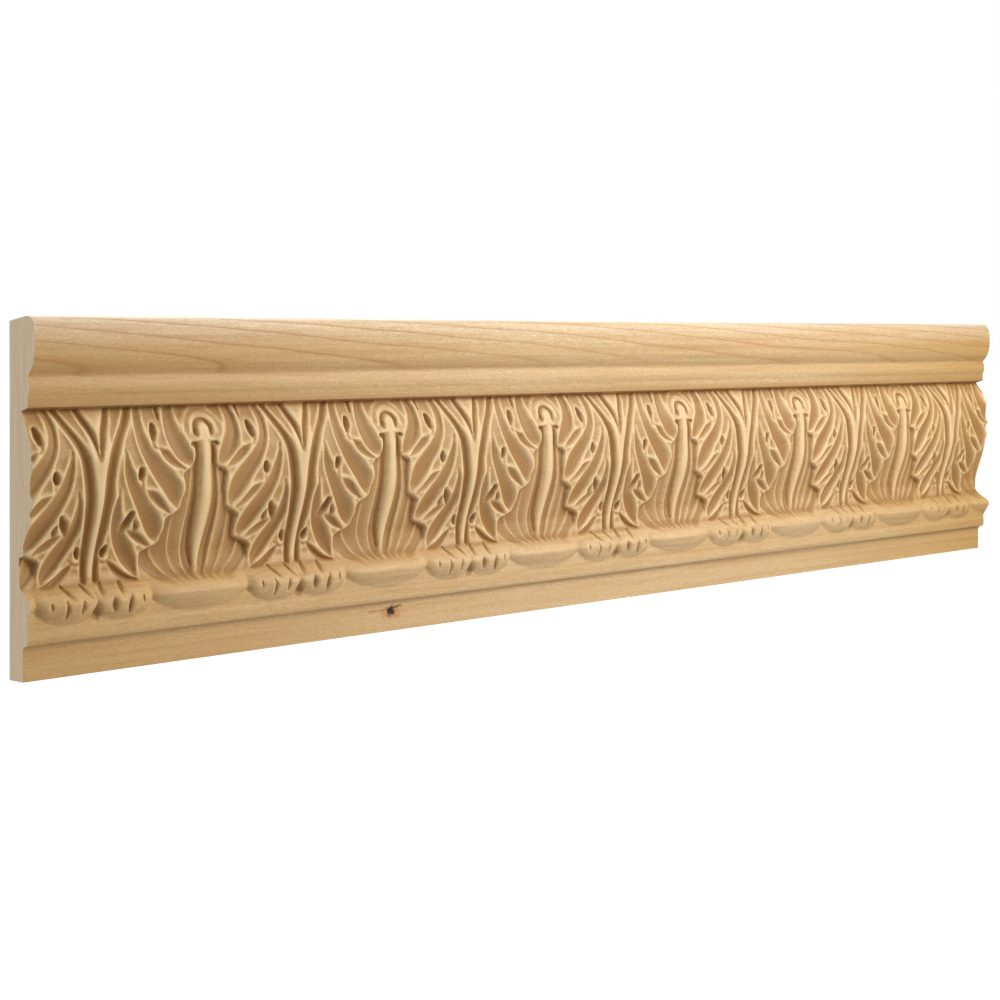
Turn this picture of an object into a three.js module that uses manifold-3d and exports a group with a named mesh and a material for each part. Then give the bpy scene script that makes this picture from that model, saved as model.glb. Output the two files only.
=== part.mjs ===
import * as THREE from 'three';
import { mergeVertices } from 'three/addons/utils/BufferGeometryUtils.js';
import Module from 'manifold-3d';

// A straight length of carved maple moulding, sawn square at both ends. Millimetres.
// X runs along the wall, Y into the wall and Z up. The origin is the centre of the flat back.

// The blank
const LENGTH = 768;
const HEIGHT = 154;
const TOP_FALL = 2; // the top slopes down this much from the front to the back

// The foot: a plain band, then a round bead
const FASCIA_DEPTH = 10;
const FASCIA_HEIGHT = 11.7;
const BEAD_DEPTH = 14.3;
const BEAD_HEIGHT = 10.3;
const BEAD_QUIRK = 1.8; // how far the sharp corner under the bead stands back from it
const BEAD_COVE = 0.35; // share of the bead's height that the cove under it takes
const BEAD_SHOULDER = 0.7; // share of the bead's height at which it stands out furthest

// The carved band: a row of bosses, a hollow throat and a full belly
const BOSS_GROUND_DEPTH = 14;
const BOSS_DEPTH = 19;
const THROAT_DEPTH = 9.5;
const BELLY_DEPTH = 18.5;
const BELLY_TOP_DEPTH = 10;

// The cornice: a fillet over a deep quirk, a small bead, a hollow and a big rounded nose
const CORNICE_HEIGHT = 38.5;
const QUIRK_HEIGHT = 1.5;
const FILLET_DEPTH = 13.6;
const FILLET_HEIGHT = 4.7;
const SMALL_BEAD_DEPTH = 15.2;
const SMALL_BEAD_HEIGHT = 8;
const SMALL_BEAD_PULL = 0.6; // how far the point that draws the bead's curve stands in front of it
const SMALL_BEAD_MIDDLE = 0.4; // share of the bead's height at which that point lies
const HOLLOW_DEPTH = 13.8;
const HOLLOW_HEIGHT = 2.5;
const NOSE_DEPTH = 19;
const NOSE_MIDDLE = 0.55; // share of the way up from the hollow at which the nose is deepest
const NOSE_ROUND = 6.5; // how far the rounded top corner of the nose reaches back
const NOSE_CORNER = 2; // how far the points that draw that corner stand back from it

// The carved pattern repeats, and each repeat is two mirrored halves
const PITCH = 114.5;
const FIRST_ROSETTE = 91; // from the left end to the middle of the first rosette
const GROOVE_DEPTH = 3;
const FLUTE_DEPTH = 2.2;
const NICK_DEPTH = 2;
const EYE_DEPTH = 4;
// A cut's own solid flares up to its shoulders, and then goes straight out of the face
const CUT_SHOULDER = 0.5;
const CUT_PROUD = 4;
const ROSETTE_UP = 103.5; // middle of the rosette, in the drawing

// Heights that the parts of the section meet at
const BAND_FOOT = FASCIA_HEIGHT + BEAD_HEIGHT;
const BAND_TOP = HEIGHT - CORNICE_HEIGHT - QUIRK_HEIGHT;
const FILLET_FOOT = HEIGHT - CORNICE_HEIGHT;

// The carving is drawn on a half repeat of this size, and stretched to the size of the band.
// Across is measured from the middle of the forked stem, towards the rosette, and up from the
// bottom of the moulding.
const DRAWN = { halfRepeat: 57.25, foot: 22, bossTop: 38, throatTop: 41, crest: 80, brow: 90, top: 114 };
const FACE_ROWS = [39, 53, 68, 84, 100, DRAWN.top]; // heights at which the face of the blank bends
const TOP = DRAWN.top;
const PAST_TOP = TOP + 8; // cuts that run out under the fillet end here

const maple = new THREE.MeshStandardMaterial({ color: 0xd9b98a, roughness: 0.6, metalness: 0 });

const wasm = await Module();
wasm.setup();

// A closed solid from a closed geometry
function solidOf(geometry) {
  const bare = geometry.clone();
  bare.deleteAttribute('normal');
  bare.deleteAttribute('uv');
  const merged = mergeVertices(bare, 1e-4);
  return new wasm.Manifold(
    new wasm.Mesh({
      numProp: 3,
      vertProperties: new Float32Array(merged.attributes.position.array),
      triVerts: new Uint32Array(merged.index.array),
    }),
  );
}

function geometryOf(solid) {
  const { vertProperties, triVerts } = solid.getMesh();
  const geometry = new THREE.BufferGeometry();
  geometry.setAttribute('position', new THREE.BufferAttribute(vertProperties, 3));
  geometry.setIndex(new THREE.BufferAttribute(triVerts, 1));
  geometry.computeVertexNormals();
  return geometry;
}

// A height in the drawing as a height on the moulding, from its foot
function drawnHeight(up) {
  const share = (up - DRAWN.foot) / (DRAWN.top - DRAWN.foot);
  return BAND_FOOT + share * (BAND_TOP - BAND_FOOT);
}

// How far the uncarved face of the band stands in front of the back, at a height in the drawing
function faceDepth(up) {
  const { foot, bossTop, throatTop, crest, brow, top } = DRAWN;
  if (up < bossTop) {
    const share = THREE.MathUtils.clamp((up - foot) / (bossTop - foot), 0, 1);
    return THREE.MathUtils.lerp(BOSS_GROUND_DEPTH, THROAT_DEPTH, share ** 2);
  }
  if (up < throatTop) return THROAT_DEPTH;
  if (up < crest) {
    const share = (up - throatTop) / (crest - throatTop);
    return THREE.MathUtils.lerp(THROAT_DEPTH, BELLY_DEPTH, 0.5 - 0.5 * Math.cos(Math.PI * share));
  }
  const share = THREE.MathUtils.clamp((up - brow) / (top - brow), 0, 1);
  return THREE.MathUtils.lerp(BELLY_DEPTH, BELLY_TOP_DEPTH, share ** 2);
}

// Outline of the blank: depth in front of the back, and height above the foot
function blankSection() {
  const section = new THREE.Shape();
  section.moveTo(0, 0);
  section.lineTo(FASCIA_DEPTH, 0);
  section.lineTo(FASCIA_DEPTH, FASCIA_HEIGHT);

  const beadFoot = FASCIA_HEIGHT + BEAD_COVE * BEAD_HEIGHT;
  const beadMiddle = FASCIA_HEIGHT + BEAD_SHOULDER * BEAD_HEIGHT;
  section.quadraticCurveTo(FASCIA_DEPTH, beadFoot, BEAD_DEPTH - BEAD_QUIRK, beadFoot);
  section.quadraticCurveTo(BEAD_DEPTH, beadFoot, BEAD_DEPTH, beadMiddle);
  section.lineTo(BOSS_GROUND_DEPTH, BAND_FOOT);

  for (const up of FACE_ROWS) {
    section.lineTo(faceDepth(up), drawnHeight(up));
  }

  const filletTop = FILLET_FOOT + FILLET_HEIGHT;
  const smallBeadTop = filletTop + SMALL_BEAD_HEIGHT;
  section.lineTo(FILLET_DEPTH, FILLET_FOOT);
  section.lineTo(FILLET_DEPTH, filletTop);
  const bulge = [SMALL_BEAD_DEPTH + SMALL_BEAD_PULL, filletTop + SMALL_BEAD_MIDDLE * SMALL_BEAD_HEIGHT];
  section.quadraticCurveTo(...bulge, HOLLOW_DEPTH, smallBeadTop);
  const noseFoot = smallBeadTop + HOLLOW_HEIGHT;
  const noseMiddle = THREE.MathUtils.lerp(noseFoot, HEIGHT, NOSE_MIDDLE);
  const corner = [NOSE_DEPTH, HEIGHT - NOSE_CORNER, NOSE_DEPTH - NOSE_CORNER, HEIGHT];
  section.bezierCurveTo(HOLLOW_DEPTH, noseFoot, NOSE_DEPTH, noseFoot, NOSE_DEPTH, noseMiddle);
  section.bezierCurveTo(...corner, NOSE_DEPTH - NOSE_ROUND, HEIGHT);
  section.lineTo(0, HEIGHT - TOP_FALL);
  return section;
}

// The section drawn out along X, standing on z = 0 with its back at y = 0
function blank() {
  const geometry = new THREE.ExtrudeGeometry(blankSection(), {
    depth: LENGTH,
    curveSegments: 4,
    bevelEnabled: false,
  });
  const along = new THREE.Vector3(-1, 0, 0);
  const outward = new THREE.Vector3(0, -1, 0);
  const upward = new THREE.Vector3(0, 0, 1);
  geometry.applyMatrix4(new THREE.Matrix4().makeBasis(outward, upward, along));
  geometry.translate(LENGTH, 0, 0);
  return solidOf(geometry);
}

// A round boss on the band, pointed at both ends, with its own reach above and below
function boss(x, up, halfLength, below, above, around, along) {
  const geometry = new THREE.SphereGeometry(1, around, along);
  geometry.rotateZ(Math.PI / 2);
  const position = geometry.attributes.position;
  const reach = BOSS_DEPTH - THROAT_DEPTH;
  for (let i = 0; i < position.count; i++) {
    const rise = position.getZ(i) * (position.getZ(i) < 0 ? below : above);
    position.setXYZ(
      i,
      x + position.getX(i) * halfLength,
      position.getY(i) * reach - THROAT_DEPTH,
      drawnHeight(up + rise),
    );
  }
  return solidOf(geometry);
}

// One gouge cut that runs from point to point and ends in a tip at both ends. Each point is
// [across, up, width]. The cut has a V section that follows the face of the band, and skew leans
// the bottom of the V to one side, from -1 to 1. middle is the X of the line that across is
// measured from, and side is 1 or -1 for the two mirrored halves. reach is how far the surface
// that is cut stands in front of the face of the band.
function gouge({ points, depth, skew = 0, reach = 0 }, middle, side) {
  const stretch = PITCH / 2 / DRAWN.halfRepeat;
  const last = points.length - 1;
  const widest = Math.max(...points.map(([, , width = 0]) => width));
  const corners = 5;
  const geometry = new THREE.SphereGeometry(1, corners, last);
  const position = geometry.attributes.position;
  for (let i = 0; i < position.count; i++) {
    const station = last - Math.floor(i / (corners + 1));
    const corner = (i % (corners + 1)) % corners;
    const [acrossHere, upHere, width = 0] = points[station];
    const before = points[Math.max(station - 1, 0)];
    const after = points[Math.min(station + 1, last)];
    const tangent = new THREE.Vector2((after[0] - before[0]) * side, after[1] - before[1]).normalize();
    const sink = depth * Math.sqrt(width / widest);
    const slope = width / 2 / Math.max(sink, 1e-6);
    const shoulder = width / 2 + slope * CUT_SHOULDER;
    const sideways = [-shoulder, -shoulder, shoulder, shoulder, (skew * side * width) / 2][corner];
    const proud = [CUT_SHOULDER, CUT_PROUD, CUT_PROUD, CUT_SHOULDER, -sink][corner];
    const isTip = station === 0 || station === last;
    const across = acrossHere * side + (isTip ? 0 : tangent.y * sideways);
    const up = upHere - (isTip ? 0 : tangent.x * sideways);
    const depthHere = faceDepth(up) + reach + (isTip ? CUT_SHOULDER : proud);
    position.setXYZ(i, middle + across * stretch, -depthHere, drawnHeight(up));
  }
  return solidOf(geometry);
}

// Points on an arc about the middle of a rosette, from one side over the top to the other
function arcPoints(radius, sweep, width, count) {
  const points = [];
  for (let i = 0; i < count; i++) {
    const angle = (i / (count - 1) - 0.5) * sweep;
    points.push([radius * Math.sin(angle), ROSETTE_UP + radius * Math.cos(angle), width]);
  }
  return points;
}

// Cuts of one half repeat, measured from the middle of the forked stem
const LEAF_CUTS = [
  // the forked stem and the long groove that follows it down
  { points: [[12, PAST_TOP], [8.6, TOP, 3.4], [3.4, 103, 3.6], [0.3, 91.5]], depth: NICK_DEPTH },
  {
    points: [
      [24, PAST_TOP],
      [20.3, TOP, 4],
      [10.6, 98, 5],
      [5.8, 81, 5.6],
      [4, 60, 4.8],
      [2.8, 39.5],
    ],
    depth: GROOVE_DEPTH,
  },
  // the four lobes of the leaf, each hollowed down to a deep line along its back
  {
    points: [[45, PAST_TOP], [42, TOP, 5], [39.8, 104.5, 8], [43, 95.5, 9.5], [51, 86.5]],
    depth: FLUTE_DEPTH,
    skew: -0.3,
  },
  {
    points: [[27, PAST_TOP], [25, TOP, 4], [22.8, 99, 6], [30, 85.5, 8], [39.3, 76, 9], [42, 67.5]],
    depth: GROOVE_DEPTH,
    skew: 0.6,
  },
  {
    points: [[13.5, 98], [16.8, 83, 6.4], [23.5, 71, 8], [30.5, 62.5, 8.5], [36, 52.5]],
    depth: GROOVE_DEPTH,
    skew: 0.5,
  },
  {
    points: [[10.5, 80], [10.4, 66, 6.5], [15, 54.5, 8], [21, 47.5, 7], [25.5, 39.5]],
    depth: GROOVE_DEPTH,
    skew: 0.5,
  },
  // short nicks under the tips of the lobes
  { points: [[31.5, 96.5], [38, 90.6, 4], [46, 86]], depth: NICK_DEPTH },
  { points: [[24, 78], [30.8, 72.6, 3.6], [39.5, 66.5]], depth: NICK_DEPTH },
  { points: [[16.5, 60.5], [23.3, 57.1, 3.4], [31.5, 52.3]], depth: NICK_DEPTH },
  // drilled eyes
  { points: [[28.8, 98.5], [29.8, 103, 3.6], [30.8, 107.5]], depth: EYE_DEPTH },
  { points: [[21.2, 81.5], [21.8, 85, 3.6], [22.2, 89]], depth: EYE_DEPTH },
  { points: [[13.4, 60], [16.2, 64.6, 3.6], [19, 69.4]], depth: EYE_DEPTH },
];

// Cuts of one half repeat, measured from the middle of the rosette: the flutes of the shell
const SHELL_CUTS = [
  { points: [[5.6, 100], [5.3, 89, 5], [5.2, 66, 4], [1.8, 39]], depth: FLUTE_DEPTH },
  { points: [[10.5, 94], [11.2, 78, 4.6], [13.8, 62, 8.8], [13, 49, 9.4], [7, 39]], depth: FLUTE_DEPTH },
  { points: [[20.8, 68], [23.8, 54, 8.6], [20.2, 45.5, 8.4], [13, 38.5]], depth: FLUTE_DEPTH },
  { points: [[34, 53], [29.7, 45, 6.5], [21, 38.5]], depth: NICK_DEPTH },
];

// Whole arcs over each rosette
const ROSETTE_CUTS = [
  { points: arcPoints(5, 4.6, 2.6, 6), depth: NICK_DEPTH },
  { points: arcPoints(9.8, 3.8, 2.4, 5), depth: NICK_DEPTH },
];

// Nicks between the toes of the boss under each forked stem: across, up and lean of each
const TOE_NICK_HALF = 3.6;
const TOE_NICK_WIDTH = 2.2;
const TOE_UPPER = { from: 33, set: 3 }; // nicks above this height are set further into the boss
const TOE_LOWER = { set: 0.8 };
const TOE_NICKS = [
  [3, 35.5, -3.5],
  [13.5, 35.2, -3.5],
  [7.7, 29.4, 0.6],
];

function toeNick([across, up, lean], middle, side) {
  const points = [
    [across - lean / 2, up + TOE_NICK_HALF],
    [across, up, TOE_NICK_WIDTH],
    [across + lean / 2, up - TOE_NICK_HALF],
  ];
  const { set } = up > TOE_UPPER.from ? TOE_UPPER : TOE_LOWER;
  const reach = BOSS_DEPTH - faceDepth(up) - set;
  return gouge({ points, depth: NICK_DEPTH, reach }, middle, side);
}

// The middles of every rosette or forked stem whose repeat touches the moulding
function middles(first) {
  const found = [];
  const start = first - Math.ceil(first / PITCH) * PITCH;
  for (let x = start; x < LENGTH + PITCH; x += PITCH) found.push(x);
  return found;
}

function bosses() {
  const bowls = middles(FIRST_ROSETTE).map((x) => boss(x, 31.5, 27, 9, 6, 6, 6));
  const toes = middles(FIRST_ROSETTE - PITCH / 2).flatMap((x) =>
    [-1, 1].map((side) => boss(x + side * 14, 30, 16.5, 8, 8, 6, 4)),
  );
  return wasm.Manifold.union([...bowls, ...toes]);
}

function carving() {
  const cuts = [];
  for (const side of [-1, 1]) {
    for (const middle of middles(FIRST_ROSETTE - PITCH / 2)) {
      for (const cut of LEAF_CUTS) cuts.push(gouge(cut, middle, side));
      for (const nick of TOE_NICKS) cuts.push(toeNick(nick, middle, side));
    }
    for (const middle of middles(FIRST_ROSETTE)) {
      for (const cut of SHELL_CUTS) cuts.push(gouge(cut, middle, side));
    }
  }
  for (const middle of middles(FIRST_ROSETTE)) {
    for (const cut of ROSETTE_CUTS) cuts.push(gouge(cut, middle, 1));
  }
  return wasm.Manifold.union(cuts);
}

// A plain block over the stretch of the moulding between two heights
function slab(low, high) {
  const deep = 4 * NOSE_DEPTH;
  const geometry = new THREE.BoxGeometry(LENGTH, deep, high - low);
  geometry.translate(LENGTH / 2, -deep / 2, (low + high) / 2);
  return solidOf(geometry);
}

function moulding() {
  const plain = blank().add(bosses().intersect(slab(0, HEIGHT)));
  const cut = carving().intersect(slab(0, FILLET_FOOT));
  return plain.subtract(cut);
}

const carved = new THREE.Mesh(geometryOf(moulding()), maple);
carved.name = 'carved_moulding';
carved.position.set(-LENGTH / 2, 0, -HEIGHT / 2);

const part = new THREE.Group();
part.add(carved);

export default part;
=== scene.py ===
"""The looks of a length of carved maple moulding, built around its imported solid."""

import logging
import math
from dataclasses import dataclass, field
from enum import Enum

import bmesh
import bpy
import numpy as np
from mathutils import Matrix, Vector


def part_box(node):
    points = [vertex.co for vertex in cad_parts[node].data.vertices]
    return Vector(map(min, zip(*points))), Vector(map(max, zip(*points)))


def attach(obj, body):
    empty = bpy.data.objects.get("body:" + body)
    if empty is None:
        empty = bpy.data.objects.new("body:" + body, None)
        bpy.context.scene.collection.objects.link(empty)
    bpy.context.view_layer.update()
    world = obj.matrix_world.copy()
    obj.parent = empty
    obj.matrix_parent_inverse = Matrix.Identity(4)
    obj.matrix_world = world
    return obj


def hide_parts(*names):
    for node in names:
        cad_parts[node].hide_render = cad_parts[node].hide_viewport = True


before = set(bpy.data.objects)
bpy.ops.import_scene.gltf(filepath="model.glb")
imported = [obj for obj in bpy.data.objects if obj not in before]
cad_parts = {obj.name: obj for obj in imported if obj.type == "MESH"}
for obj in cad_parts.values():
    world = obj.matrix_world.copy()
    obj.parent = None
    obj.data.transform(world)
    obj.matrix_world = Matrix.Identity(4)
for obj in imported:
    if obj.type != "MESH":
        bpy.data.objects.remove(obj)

log = logging.getLogger("carved_moulding")

NODE = "carved_moulding"
MM = 0.001  # sizes in this script are in millimetres, and Blender's are in metres
# painted shading: near 1 hollows are painted browner (cut-wood tone and painted shade), near 0 ridges are
# painted pale as a highlight
SHADING_AND_CUT_TONE = "shading_and_cut_tone"  # the attribute that tells hollows, near 1, from ridges, near 0
# painted shade in the quirk under the fillet
QUIRK_SHADE = 0.6
PLAIN_SHADING = 0.25
BEAD_POINTS = 8  # points on each curve of the section
SHED_POINTS = 6
SMALL_BEAD_POINTS = 10
NOSE_POINTS = 16
GOUGE_SAMPLES = 16  # points along a gouge cut for each of its stations
ARC_STEPS = 10
INSIDE = 0.001  # keeps a place on the grid's last line inside its last cell

WHITE = (1, 1, 1, 1)
KNOT_FROM_END = 211.6  # from the left end to the middle of the pin knot
KNOT_UP = 10.1  # and from the foot
KNOT_BEHIND_NOSE = 9.0  # and how far behind the nose the fascia lies

Point = tuple[float, float]
Station = tuple[float, float, float]
Colour = tuple[float, float, float, float]
Range = tuple[float, float, float, float]
Ramp = tuple[Point, ...]
Grid = np.ndarray
Socket = bpy.types.NodeSocket


def bezier(ends: list[Point], count: int) -> list[Point]:
    """Samples a Bezier curve, without its first point.

    Args:
        ends: its control points, three or four of them.
        count: how many points to return.

    Returns:
        Points along the curve, the last of them its end.
    """
    degree = len(ends) - 1
    points = []
    for step in range(1, count + 1):
        t = step / count
        weights = [math.comb(degree, k) * t**k * (1 - t) ** (degree - k) for k in range(degree + 1)]
        points.append(
            (
                sum(w * x for w, (x, _) in zip(weights, ends)),
                sum(w * y for w, (_, y) in zip(weights, ends)),
            )
        )
    return points


def smooth_line(points: Grid, count: int) -> Grid:
    """Runs a centripetal Catmull-Rom curve through points.

    Args:
        points: one row for each point.
        count: how many samples to return.

    Returns:
        The samples, one row each, evenly spaced in the curve's own parameter.
    """
    padded = np.vstack([2 * points[0] - points[1], points, 2 * points[-1] - points[-2]])
    steps = np.sqrt(np.maximum(np.linalg.norm(np.diff(padded[:, :2], axis=0), axis=1), 1e-6))
    knots = np.concatenate([[0.0], np.cumsum(steps)])
    samples = np.linspace(knots[1], knots[-2], count)
    out = np.empty((count, points.shape[1]))
    for row, t in enumerate(samples):
        i = int(np.clip(np.searchsorted(knots, t, side="right") - 1, 1, len(knots) - 3))
        t0, t1, t2, t3 = knots[i - 1 : i + 3]
        p0, p1, p2, p3 = padded[i - 1 : i + 3]
        a1 = (t1 - t) / (t1 - t0) * p0 + (t - t0) / (t1 - t0) * p1
        a2 = (t2 - t) / (t2 - t1) * p1 + (t - t1) / (t2 - t1) * p2
        a3 = (t3 - t) / (t3 - t2) * p2 + (t - t2) / (t3 - t2) * p3
        b1 = (t2 - t) / (t2 - t0) * a1 + (t - t0) / (t2 - t0) * a2
        b2 = (t3 - t) / (t3 - t1) * a2 + (t - t1) / (t3 - t1) * a3
        out[row] = (t2 - t) / (t2 - t1) * b1 + (t - t1) / (t2 - t1) * b2
    return out


def soften(heights: Grid, radius: float) -> Grid:
    """Blurs a grid of heights with a Gaussian, mirroring it at its edges.

    Args:
        heights: the grid.
        radius: the Gaussian's standard deviation, in cells.

    Returns:
        The blurred grid.
    """
    reach = max(1, int(3 * radius))
    offsets = np.arange(-reach, reach + 1)
    kernel = np.exp(-0.5 * (offsets / radius) ** 2)
    kernel /= kernel.sum()
    blurred = heights
    for axis in (0, 1):
        pads = [(reach, reach) if a == axis else (0, 0) for a in (0, 1)]
        wide = np.pad(blurred, pads, mode="reflect")
        blurred = np.apply_along_axis(lambda line: np.convolve(line, kernel, mode="valid"), axis, wide)
    return blurred


@dataclass(frozen=True)
class Section:
    """The outline of the blank: depth in front of the back, and height above the foot."""

    height: float
    nose_depth: float
    top_fall: float = 2.0
    fascia_depth: float = 10.0
    fascia_height: float = 11.7
    bead_depth: float = 14.3
    bead_height: float = 10.3
    bead_quirk: float = 1.8
    boss_ground: float = 14.0
    throat: float = 9.5
    belly: float = 18.5
    belly_top: float = 10.0
    throat_from: float = 38.0
    throat_to: float = 41.0
    crest_from: float = 80.0
    crest_to: float = 90.0
    cornice_height: float = 38.5
    quirk_height: float = 1.5
    fillet_depth: float = 13.6
    fillet_height: float = 4.7
    small_bead_depth: float = 15.2
    small_bead_height: float = 8.0
    hollow_depth: float = 13.8
    nose_round: float = 6.5
    bead_cove: float = 0.35  # share of the bead's height that the cove under it takes
    bead_shoulder: float = 0.7  # share of the bead's height at which it stands out furthest
    shed_drop: float = 1.4  # how far below the band the bead starts to turn in
    hollow_height: float = 2.5
    small_bead_pull: float = 0.6  # how far the point that draws the small bead stands in front of it
    small_bead_middle: float = 0.4  # share of its height at which that point lies
    nose_middle: float = 0.55  # share of the way up from the hollow at which the nose is deepest
    nose_corner: float = 2.0  # how far the points that draw the nose's top corner stand back from it

    @property
    def band_foot(self) -> float:
        """Height at which the carved band starts."""
        return self.fascia_height + self.bead_height

    @property
    def band_top(self) -> float:
        """Height at which the carved band meets the quirk."""
        return self.height - self.cornice_height - self.quirk_height

    @property
    def fillet_foot(self) -> float:
        """Height of the lower edge of the fillet."""
        return self.height - self.cornice_height

    def face_depth(self, up: Grid) -> Grid:
        """Gives the uncarved face of the band.

        Args:
            up: heights above the foot.

        Returns:
            How far the face stands in front of the back at each height.
        """
        sunk = np.clip((up - self.band_foot) / (self.throat_from - self.band_foot), 0, 1) ** 2
        rise = np.clip((up - self.throat_to) / (self.crest_from - self.throat_to), 0, 1)
        fall = np.clip((up - self.crest_to) / (self.band_top - self.crest_to), 0, 1) ** 2
        foot = self.boss_ground + (self.throat - self.boss_ground) * sunk
        swell = (self.belly - self.throat) * (0.5 - 0.5 * np.cos(np.pi * rise))
        return foot + swell - (self.belly - self.belly_top) * fall

    def foot_outline(self) -> list[Point]:
        """Gives the plain foot, from the back of its underside up to the band."""
        bead_foot = self.fascia_height + self.bead_cove * self.bead_height
        bead_middle = self.fascia_height + self.bead_shoulder * self.bead_height
        quirk = (self.bead_depth - self.bead_quirk, bead_foot)
        cove = [(self.fascia_depth, self.fascia_height), (self.fascia_depth, bead_foot), quirk]
        bead = [quirk, (self.bead_depth, bead_foot), (self.bead_depth, bead_middle)]
        shed_from = (self.bead_depth, self.band_foot - self.shed_drop)
        shed = [bead[-1], shed_from, (self.boss_ground, self.band_foot)]
        start = [(0.0, 0.0), (self.fascia_depth, 0.0), cove[0]]
        return start + bezier(cove, BEAD_POINTS) + bezier(bead, BEAD_POINTS) + bezier(shed, SHED_POINTS)

    def cornice_outline(self) -> list[Point]:
        """Gives the cornice, from the lower edge of the fillet round to the back of the top."""
        fillet_top = self.fillet_foot + self.fillet_height
        bead_top = fillet_top + self.small_bead_height
        nose_foot = bead_top + self.hollow_height
        nose_middle = nose_foot + self.nose_middle * (self.height - nose_foot)
        bulge_up = fillet_top + self.small_bead_middle * self.small_bead_height
        bulge = (self.small_bead_depth + self.small_bead_pull, bulge_up)
        bead = [(self.fillet_depth, fillet_top), bulge, (self.hollow_depth, bead_top)]
        front = (self.nose_depth, nose_middle)
        ogee = [bead[-1], (self.hollow_depth, nose_foot), (self.nose_depth, nose_foot), front]
        crown_top = (self.nose_depth - self.nose_round, self.height)
        corner_low = (self.nose_depth, self.height - self.nose_corner)
        corner_top = (self.nose_depth - self.nose_corner, self.height)
        crown = [front, corner_low, corner_top, crown_top]
        start = [(self.fillet_depth, self.fillet_foot), bead[0]]
        end = [(0.0, self.height - self.top_fall)]
        nose = bezier(ogee, NOSE_POINTS) + bezier(crown, NOSE_POINTS)
        return start + bezier(bead, SMALL_BEAD_POINTS) + nose + end


class Hollow(Enum):
    """The shape of a gouge cut across its width: the power that its floor rises with."""

    ROUND = 1.9
    BROAD = 2.5
    FLAT = 3.5


@dataclass(frozen=True)
class Gouge:
    """One gouge cut through stations of across, up and width."""

    stations: tuple[Station, ...]
    depth: float
    hollow: Hollow = Hollow.ROUND
    lean: float = 0.0

    def carve(self, across: Grid, up: Grid) -> Grid:
        """Works out how deep the cut goes.

        Args:
            across: distance of each place from the line that the stations are measured from.
            up: height of each place.

        Returns:
            The depth of the cut at each place, and 0 outside it.
        """
        line = smooth_line(np.array(self.stations), GOUGE_SAMPLES * len(self.stations))
        way = np.gradient(line[:, :2], axis=0)
        way /= np.linalg.norm(way, axis=1, keepdims=True)
        dx = across[..., None] - line[:, 0]
        dy = up[..., None] - line[:, 1]
        nearest = np.argmin(dx * dx + dy * dy, axis=-1)
        pick = nearest[..., None]
        dx = np.take_along_axis(dx, pick, -1)[..., 0]
        dy = np.take_along_axis(dy, pick, -1)[..., 0]
        side = dx * way[nearest, 1] - dy * way[nearest, 0]
        along = dx * way[nearest, 0] + dy * way[nearest, 1]
        past_end = ((nearest == 0) & (along < 0)) | ((nearest == len(line) - 1) & (along > 0))
        distance = np.where(past_end, np.copysign(np.hypot(dx, dy), side), side)
        widths = np.maximum(line[:, 2], 1e-3)
        reach = distance / (widths[nearest] / 2)
        off_floor = reach - self.lean
        slope = np.where(off_floor > 0, off_floor / (1 - self.lean), -off_floor / (1 + self.lean))
        floor = self.depth * np.sqrt(widths / widths.max())
        shape = 1 - np.clip(np.abs(slope), 0, 1) ** self.hollow.value
        return floor[nearest] * shape * (np.abs(reach) < 1)


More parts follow.
